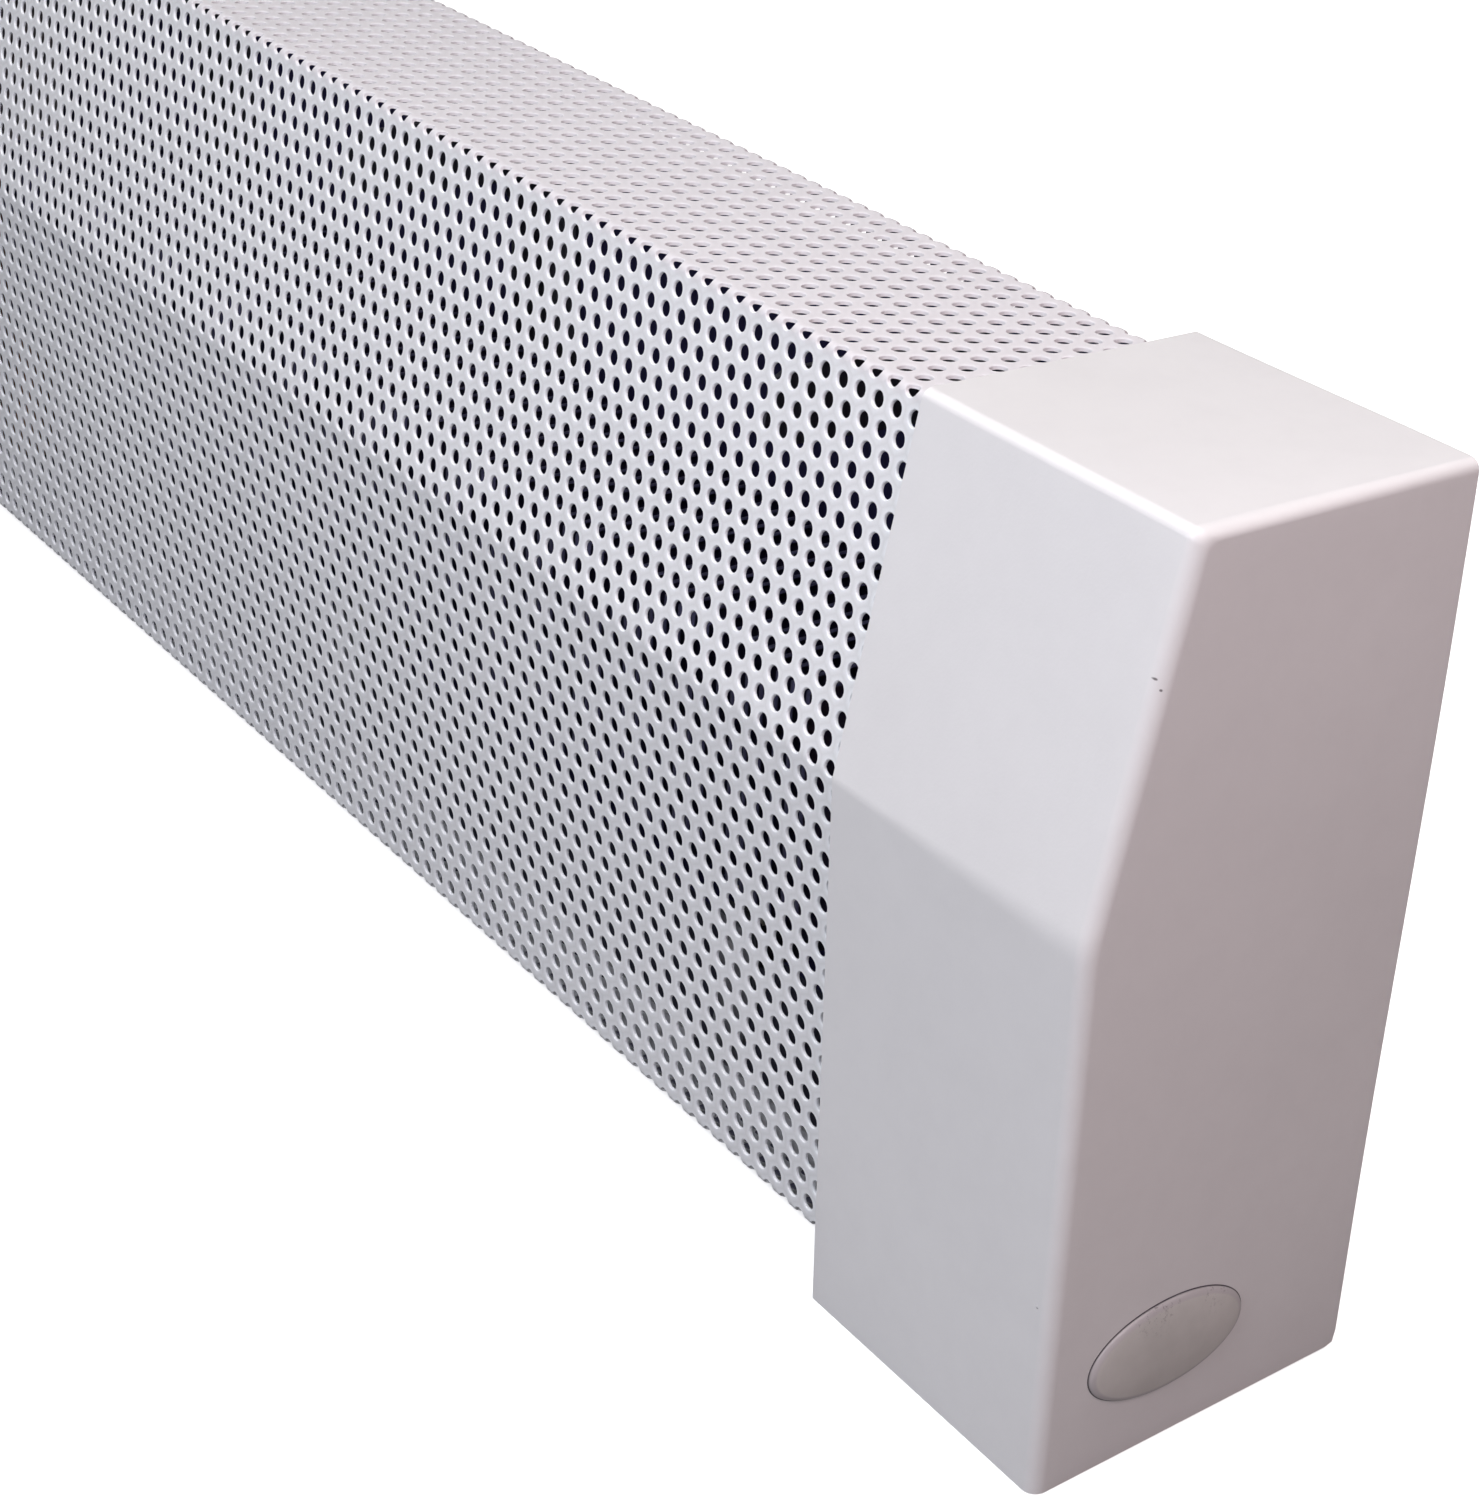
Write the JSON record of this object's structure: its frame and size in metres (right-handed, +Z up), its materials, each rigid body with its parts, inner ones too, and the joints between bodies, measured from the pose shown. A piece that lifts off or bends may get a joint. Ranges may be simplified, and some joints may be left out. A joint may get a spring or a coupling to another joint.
{
  "type": "baseboard heater",
  "caption": "Low wall heater with a perforated folded-steel front cover, closed slide-on moulded end caps and a finned copper water tube behind it.",
  "frame": {"origin": "middle of the wall plate's bottom edge, where the wall meets the floor", "axes": "+X along the wall, to the right for someone facing the heater; +Y into the wall, so the heater is at negative Y; +Z up"},
  "size_m": [0.7008, 0.089, 0.2145],
  "materials": {
    "cover_paint": "satin white powder coat",
    "cap_plastic": "satin white moulded plastic",
    "badge_metal": "soft satin",
    "plate_paint": "thin dark grey primer",
    "bracket_steel": "zinc plated",
    "clip_steel": "spring steel, zinc plated",
    "glide_plastic": "matt natural nylon",
    "rivet_aluminium": "satin",
    "copper": "bright drawn copper, lightly tarnished",
    "fin_aluminium": "mill finish",
    "vent_brass": "turned brass",
    "washer_rubber": "matt black"
  },
  "bodies": {
    "wall_frame": {"back_panel": "plate_paint", "bracket_left": "bracket_steel", "bracket_centre": "bracket_steel", "bracket_right": "bracket_steel", "clip_left": "clip_steel", "clip_centre": "clip_steel", "clip_right": "clip_steel", "glide_left": "glide_plastic", "glide_centre": "glide_plastic", "glide_right": "glide_plastic", "bracket_rivets": "rivet_aluminium", "clip_rivets": "rivet_aluminium"},
    "cover": {"cover_panel": "cover_paint"},
    "right_cap": {"right_end_cap": "cap_plastic", "badge": "badge_metal"},
    "left_cap": {"left_end_cap": "cap_plastic"},
    "element": {"element_tube": "copper", "fins": "fin_aluminium", "elbow_left": "copper", "elbow_right": "copper", "riser_left": "copper", "riser_right": "copper", "vent_body": "vent_brass", "vent_washer": "washer_rubber"},
    "bleed_screw": {"vent_screw": "vent_brass"}
  },
  "joints": [
    {"name": "cover_swing", "type": "hinge", "parent": "wall_frame", "child": "cover", "pos_m": [0, 0, 0.2145], "axis": [-1, 0, 0], "range_deg": [0, 25]},
    {"name": "right_cap_slide", "type": "slide", "parent": "cover", "child": "right_cap", "axis": [1, 0, 0], "range_m": [0, 0.09]},
    {"name": "left_cap_slide", "type": "slide", "parent": "cover", "child": "left_cap", "axis": [-1, 0, 0], "range_m": [0, 0.09]},
    {"name": "element_glide", "type": "slide", "parent": "wall_frame", "child": "element", "axis": [1, 0, 0], "range_m": [-0.003, 0.003]},
    {"name": "vent_screw_turn", "type": "hinge", "parent": "element", "child": "bleed_screw", "pos_m": [0.268, -0.042, 0.13], "axis": [0, 0, 1], "range_deg": [0, 360]}
  ]
}
